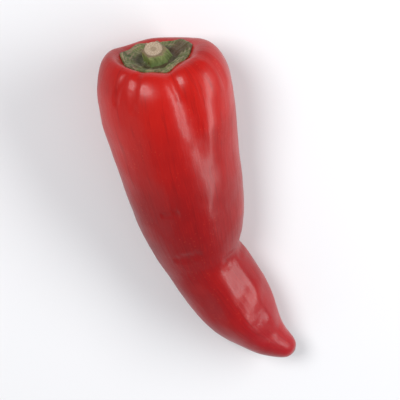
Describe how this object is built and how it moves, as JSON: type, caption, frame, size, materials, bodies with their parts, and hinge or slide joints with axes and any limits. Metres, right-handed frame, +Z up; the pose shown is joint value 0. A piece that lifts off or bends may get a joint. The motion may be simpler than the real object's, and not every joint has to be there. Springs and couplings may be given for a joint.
{
  "type": "sweet pointed pepper",
  "caption": "Red sweet pointed pepper lying on its side: a bent, lobed, tapering fruit with a ribbed green calyx and a short cut stem",
  "frame": {"origin": "on the surface that the pepper lies on, under the middle of its bounding box", "axes": "+Z up, +X along the pepper towards the stem, so the tip is at -X; the pepper bows towards +Y and its tip turns towards -Y"},
  "size_m": [0.1544, 0.0598, 0.0482],
  "materials": {
    "skin": "gloss",
    "calyx": "matte",
    "stem": "matte"
  },
  "bodies": {
    "root": {"fruit": "skin", "calyx": "calyx", "stem": "stem"}
  },
  "joints": []
}
